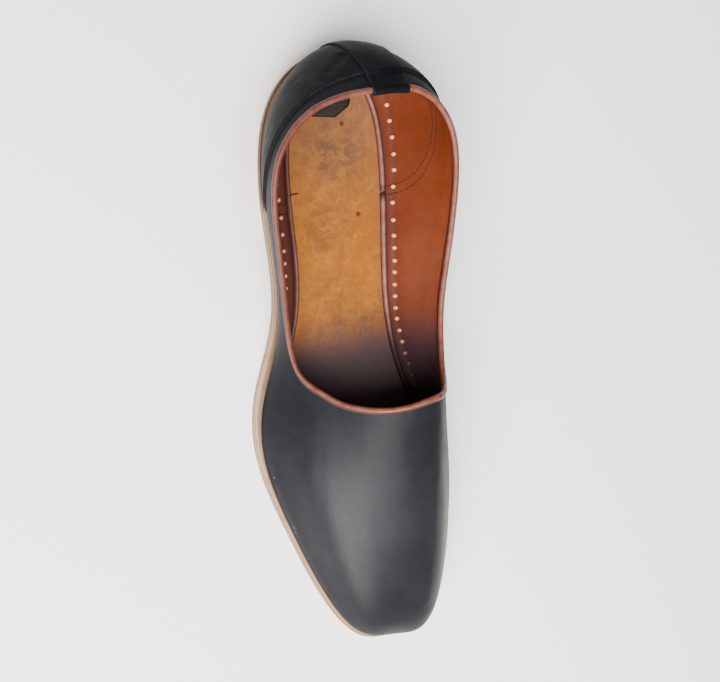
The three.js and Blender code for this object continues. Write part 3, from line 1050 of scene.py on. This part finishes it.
def make_binding(material):
    """Leather folded over the collar: a thin leg on each side and a round bead on the rim."""
    lines = 520
    arc_rows = 9
    tab_overlap = 0.2
    half = (STRIP_WIDTH / 2 - tab_overlap) / float(np.linalg.norm(round_slope(STRIP_CENTRE, 1.0)))
    t = np.linspace(STRIP_CENTRE + half, STRIP_CENTRE - half + ROUND, lines)
    full = CLEARANCE + BINDING_THICKNESS
    thin = 0.35
    edge_radius = 0.4
    bead_start = 0.3
    bead_end = 1.5

    def profile(distance, leg):
        past_bead = smooth_step((distance - bead_start) / (bead_end - bead_start))
        bead = thin + (full - thin) * (1 - past_bead)
        return bead * edge_round(leg - distance, edge_radius)

    line = []
    crest = []
    outer_leg = BINDING_LEG * 0.75
    shares = crowded(12, 1.4)
    for distance in outer_leg * (1 - shares):
        v = below_collar(t, distance)
        line.append(outer_skin(t, v, float(profile(distance, outer_leg))))
        crest.append(float(smooth_step((0.9 - distance) / 0.9)))
    line += rim_arc(t, [RIM_WALL / 2 + full] * arc_rows)
    crest += [1.0] * arc_rows
    for distance in BINDING_LEG * shares:
        v = below_collar(t, distance)
        line.append(inner_skin(t, v, 1.0, float(profile(distance, BINDING_LEG))))
        crest.append(float(smooth_step((1.3 - distance) / 1.0)))
    line.append(inner_skin(t, below_collar(t, BINDING_LEG), 1.0, -TUCK))
    line.append(rim_middle(t))
    line.append(outer_skin(t, below_collar(t, outer_leg), -TUCK))
    crest += [0.0] * 3
    points = np.stack(line, 1)
    crest = np.repeat(np.array(crest)[None, :], len(t), 0)
    # Painted shade along the legs, where they meet the wall
    soil_and_shade = np.repeat(np.where(crest[:1] < 0.05, 0.6, 0.0), len(t), 0)
    # Painted shade along the outer side dims the crest's painted highlight
    crest = crest * (1 - 0.55 * outer_side(t))[:, None]
    piece = sweep("topline_bead", points, False, {"crest": crest, "soil_and_shade": soil_and_shade})
    finished(piece, material, ("topline_binding",))


# Threads

# Height of the lining's thread over the sole, at places along the shoe
STITCH_PLACES = (26, 34, 50, 59, 66, 74, 100, 128, 140, 154)
STITCH_HEIGHTS = (7.6, 6.9, 6.5, 6.0, 5.2, 4.7, 5.0, 4.5, 5.2, 5.7)
STITCH_LENGTH = 2.5
STITCH_WIDTH = 2.2
STITCH_SINK = 0.1
STITCH_JITTER = 0.3
STITCH_SEED = 7
# The stitches stand wider apart round the heel than ahead of it
STITCH_FIRST_Y = 18.4
HEEL_PITCH = 7.9
HEEL_STITCHES = 9
FRONT_PITCH = 5.85
FRONT_STITCHES = 20
CHANNEL_DEPTH = 0.3
# The painted shade on the thread starts this much further into the toe than on the leather round it
THREAD_DELAY = 10


def stitch_rise(t):
    """The place up the wall of the lining's thread."""
    height = np.interp(outside(t, 0.1)[..., 1], STITCH_PLACES, STITCH_HEIGHTS)
    height = height + OUTER_STITCH_RISE * outer_side(t)
    low = np.zeros_like(t)
    high = np.full_like(t, 0.7)
    for _ in range(30):
        middle = (low + high) / 2
        point = outside(t, middle)
        is_below = point[..., 2] - seat(point[..., 1]) < height
        low = np.where(is_below, middle, low)
        high = np.where(is_below, high, middle)
    return low


def lining_channel(t, v):
    """Depth of the shallow channel that the lining's thread lies in."""
    centre = stitch_rise(np.asarray(t, float))
    pace = np.linalg.norm(rise_slope(t, centre), axis=-1)
    distance = (v - centre) * pace
    return CHANNEL_DEPTH * np.exp(-(distance / 1.5) ** 2)


def capsule(start, end, width, normal):
    """Points and faces of a stitch: a rounded bar from start to end, a little flattened."""
    sides = 8
    rings = 7
    flatness = 0.8
    along = end - start
    axis = unit(along)
    across = unit(np.cross(normal, axis))
    points = []
    for k in range(rings):
        share = k / (rings - 1)
        swell = math.sin(math.pi * (0.04 + 0.92 * share)) ** 0.5
        centre = start + along * share
        for j in range(sides):
            angle = 2 * math.pi * j / sides
            points.append(
                centre + across * (width / 2 * swell * math.cos(angle))
                + normal * (width / 2 * flatness * swell * math.sin(angle)))
    return points, bar_faces(rings, sides)


def stitch_row(name, ends, width, material):
    points = []
    faces = []
    for start, end, normal in ends:
        more_points, more_faces = capsule(start, end, width, normal)
        base = len(points)
        points += more_points
        faces += [tuple(base + corner for corner in face) for face in more_faces]
    points = np.array(points)
    # The threads take the painted shade inside the toe, starting later than the leather
    piece = make_piece(name, points, faces, {"soil_and_shade": toe_shade(points[:, 1] - THREAD_DELAY)})
    finished(piece, material)


def lining_stitch_ends():
    chance = np.random.default_rng(STITCH_SEED)
    heel = STITCH_FIRST_Y + HEEL_PITCH * np.arange(HEEL_STITCHES + 1)
    front = heel[-1] + FRONT_PITCH * np.arange(1, FRONT_STITCHES + 1)
    goals = np.concatenate((heel, front))
    ends = []
    for side in (1, -1):
        t = np.linspace(0, TOE * side, 2000)
        y = outside(t, stitch_rise(t))[:, 1]
        for goal in goals:
            place = goal + chance.uniform(-STITCH_JITTER, STITCH_JITTER)
            station = np.array(np.interp(place, y, t))
            v = stitch_rise(station)
            middle = inner_skin(station, v, 1.0, -STITCH_SINK)
            reach = unit(rise_slope(station, v)) * STITCH_LENGTH / 2
            ends.append((middle - reach, middle + reach, -outwards(station, v)))
    return ends


# The counter's two rows of thread: how many stations each reaches round, and its rise
COUNTER_ROWS = ((3.0, 0.78), (2.9, 0.73))
COUNTER_ROW_CORNER = 6
COUNTER_PITCH = 3.0
COUNTER_GAP = 0.15
COUNTER_THREAD = 0.4
COUNTER_THREAD_STAND = 0.02
# Each stretch of the slit: its two ends on the plan, and its height over the sock
SLIT = (
    ((18.0, 63.7), (21.8, 64.0), 0.0),
    ((21.6, 64.0), (24.6, 64.3), 1.9),
)
SLIT_WIDTH = 0.7
KNOT_Y = 64.6
KNOT_RISE = 1.6
KNOT_LENGTH = 1.8
KNOT_STAND = 0.1


def counter_stitch_ends():
    """Two rows along the counter's edge, as they show on the lining."""
    ends = []
    for reach, rise in COUNTER_ROWS:
        angle = np.linspace(0.02, math.pi - 0.02, 4000)
        t = reach * np.sign(np.cos(angle)) * np.abs(np.cos(angle)) ** (2 / COUNTER_ROW_CORNER)
        v = rise * np.sin(angle)
        skin = inner_skin(t, v, 1.0, COUNTER_THREAD_STAND)
        length = np.concatenate(([0], np.cumsum(np.linalg.norm(np.diff(skin, axis=0), axis=1))))
        count = int(length[-1] / COUNTER_PITCH)
        for k in range(count):
            span = (k * COUNTER_PITCH + COUNTER_GAP, (k + 1) * COUNTER_PITCH - COUNTER_GAP)
            places = [np.array([np.interp(at, length, skin[:, i]) for i in range(3)]) for at in span]
            middle = int(np.interp(sum(span) / 2, length, np.arange(len(t))))
            ends.append((*places, -outwards(t[middle], v[middle])))
    return ends


def dark_marks():
    """The end of a dark thread on the sock's outer edge, and its knot on the lining."""
    up = np.array((0.0, 0.0, 1.0))
    ends = []
    for start, end, rise in SLIT:
        height = seat(np.array(start[1])) + SEAT_LIFT + rise
        ends.append((np.array((*start, height)), np.array((*end, height)), up))
    t = np.linspace(1, 5, 800)
    station = np.array(np.interp(KNOT_Y, outside(t, stitch_rise(t))[:, 1], t))
    rise = stitch_rise(station) + KNOT_RISE / np.linalg.norm(rise_slope(station, 0.2))
    middle = inner_skin(station, rise, 1.0, KNOT_STAND)
    reach = unit(round_slope(station, rise)) * KNOT_LENGTH / 2
    ends.append((middle - reach, middle + reach, -outwards(station, rise)))
    return ends


def make_threads():
    pale = thread("peach_thread", "#e6a274", "#c98254")
    dark = thread("dark_thread", "#2c160d", "#200f09")
    stitch_row("lining_stitches", lining_stitch_ends(), STITCH_WIDTH, pale)
    stitch_row("counter_stitches_inside", counter_stitch_ends(), COUNTER_THREAD, dark)
    stitch_row("dark_thread_end", dark_marks(), SLIT_WIDTH, dark)


def make_patch(material):
    corners = np.array(PATCH_CORNERS)
    outline = []
    for start, end in zip(corners, np.roll(corners, -1, 0)):
        for share in np.linspace(0.06, 0.94, 12):
            outline.append(start + (end - start) * share)
    outline = np.array(outline)
    spine = np.repeat(outline.mean(0)[None], len(outline), 0)

    def bottom(y):
        return seat(y) + SEAT_LIFT - TUCK

    def top(y):
        return seat(y) + SEAT_LIFT + PATCH_THICKNESS

    profile = creased_profile(width=0.3, height=0.6)
    piece = slab("insole_patch", outline, spine, top, bottom, profile, rows=6)
    wear_and_highlight = piece.data.attributes.new("wear_and_highlight", "FLOAT", "POINT")
    wear_and_highlight.data.foreach_set("value", np.full(len(piece.data.vertices), 0.12, np.float32))
    finished(piece, material)


# Camera, floor and lights

CAMERA_PLACE = (0.2244, -0.0944, 0.5650)
CAMERA_TARGET = (-0.0038, -0.0057, 0.0200)
PICTURE_UP = (-0.1550, -0.9831, -0.0973)
LENS = 61.7
SENSOR_WIDTH = 36

# Each light's place, its width and length, its power and its tint. The long one draws the soft
# band of gloss down the front.
LIGHTS = (
    ("key", (0.42, 0.38, 1.10), (1.0, 1.0), 54, (1.0, 0.99, 0.98)),
    ("strip", (0.80, 0.84, 0.62), (0.22, 0.85), 20, (1.0, 0.95, 0.91)),
)


def aim(thing, place, target, up):
    forward = (Vector(target) - Vector(place)).normalized()
    right = forward.cross(Vector(up)).normalized()
    true_up = right.cross(forward)
    turn = Matrix((right, true_up, -forward)).transposed()
    thing.matrix_world = Matrix.Translation(place) @ turn.to_4x4()


def make_camera():
    data = bpy.data.cameras.new("camera")
    data.lens = LENS
    data.sensor_width = SENSOR_WIDTH
    data.clip_start = 0.01
    camera = placed("camera", data)
    aim(camera, CAMERA_PLACE, CAMERA_TARGET, PICTURE_UP)
    bpy.context.scene.camera = camera


LIGHT_TARGET = (0.0, 0.0, 0.03)
LIGHT_UP = (0.0, 1.0, 0.1)
WORLD_STRENGTH = 0.3
FLOOR_SIZE = 6.0
FLOOR_HEIGHT = -0.0003


def make_light(name, place, size, power, tint):
    data = bpy.data.lights.new(name, "AREA")
    data.shape = "RECTANGLE"
    data.size = size[0]
    data.size_y = size[1]
    data.energy = power
    data.color = tint
    aim(placed(name, data), place, LIGHT_TARGET, LIGHT_UP)


def make_stage():
    mesh = bpy.data.meshes.new("floor")
    half = FLOOR_SIZE / 2
    plan = ((-half, -half), (half, -half), (half, half), (-half, half))
    mesh.from_pydata([(x, y, FLOOR_HEIGHT) for x, y in plan], [], [(0, 1, 2, 3)])
    mesh.materials.append(floor_finish())
    floor = placed("floor", mesh)
    for light in LIGHTS:
        make_light(*light)
    world = bpy.data.worlds.new("studio")
    world.use_nodes = True
    background = world.node_tree.nodes["Background"]
    background.inputs["Color"].default_value = (1.0, 1.0, 1.0, 1.0)
    background.inputs["Strength"].default_value = WORLD_STRENGTH
    bpy.context.scene.world = world


def main():
    black = black_leather("black_leather", "#17171a", "#1f1f23", 0.02, is_polished=True)
    # A darker copy of the black leather, without polish, for the counter and the heel strip: its
    # darker base is painted shade
    shaded_black = black_leather("counter_leather", "#0c0d10", "#111316", 0.02)
    dark_brown = black_leather("patch_leather", "#1c1613", "#241d19", 0.15)
    folded = rolled_leather("binding_leather", "#613124", "#704134")
    rolled = rolled_leather("bead_leather", "#6c4036", "#7a5047")
    make_upper(black)
    make_lining(lining_leather())
    make_counter(shaded_black)
    make_heel_strip(shaded_black)
    make_binding(folded)
    make_rand(rolled)
    make_insole(insole_leather())
    make_patch(dark_brown)
    make_outsole(sole_leather("outsole_edge_leather", "#c9aa88", "#bb946d", 1.0))
    make_heel_lift(sole_leather("lift_leather", "#d3a67b", "#c4925f", 1.6))
    make_threads()
    make_camera()
    make_stage()


main()
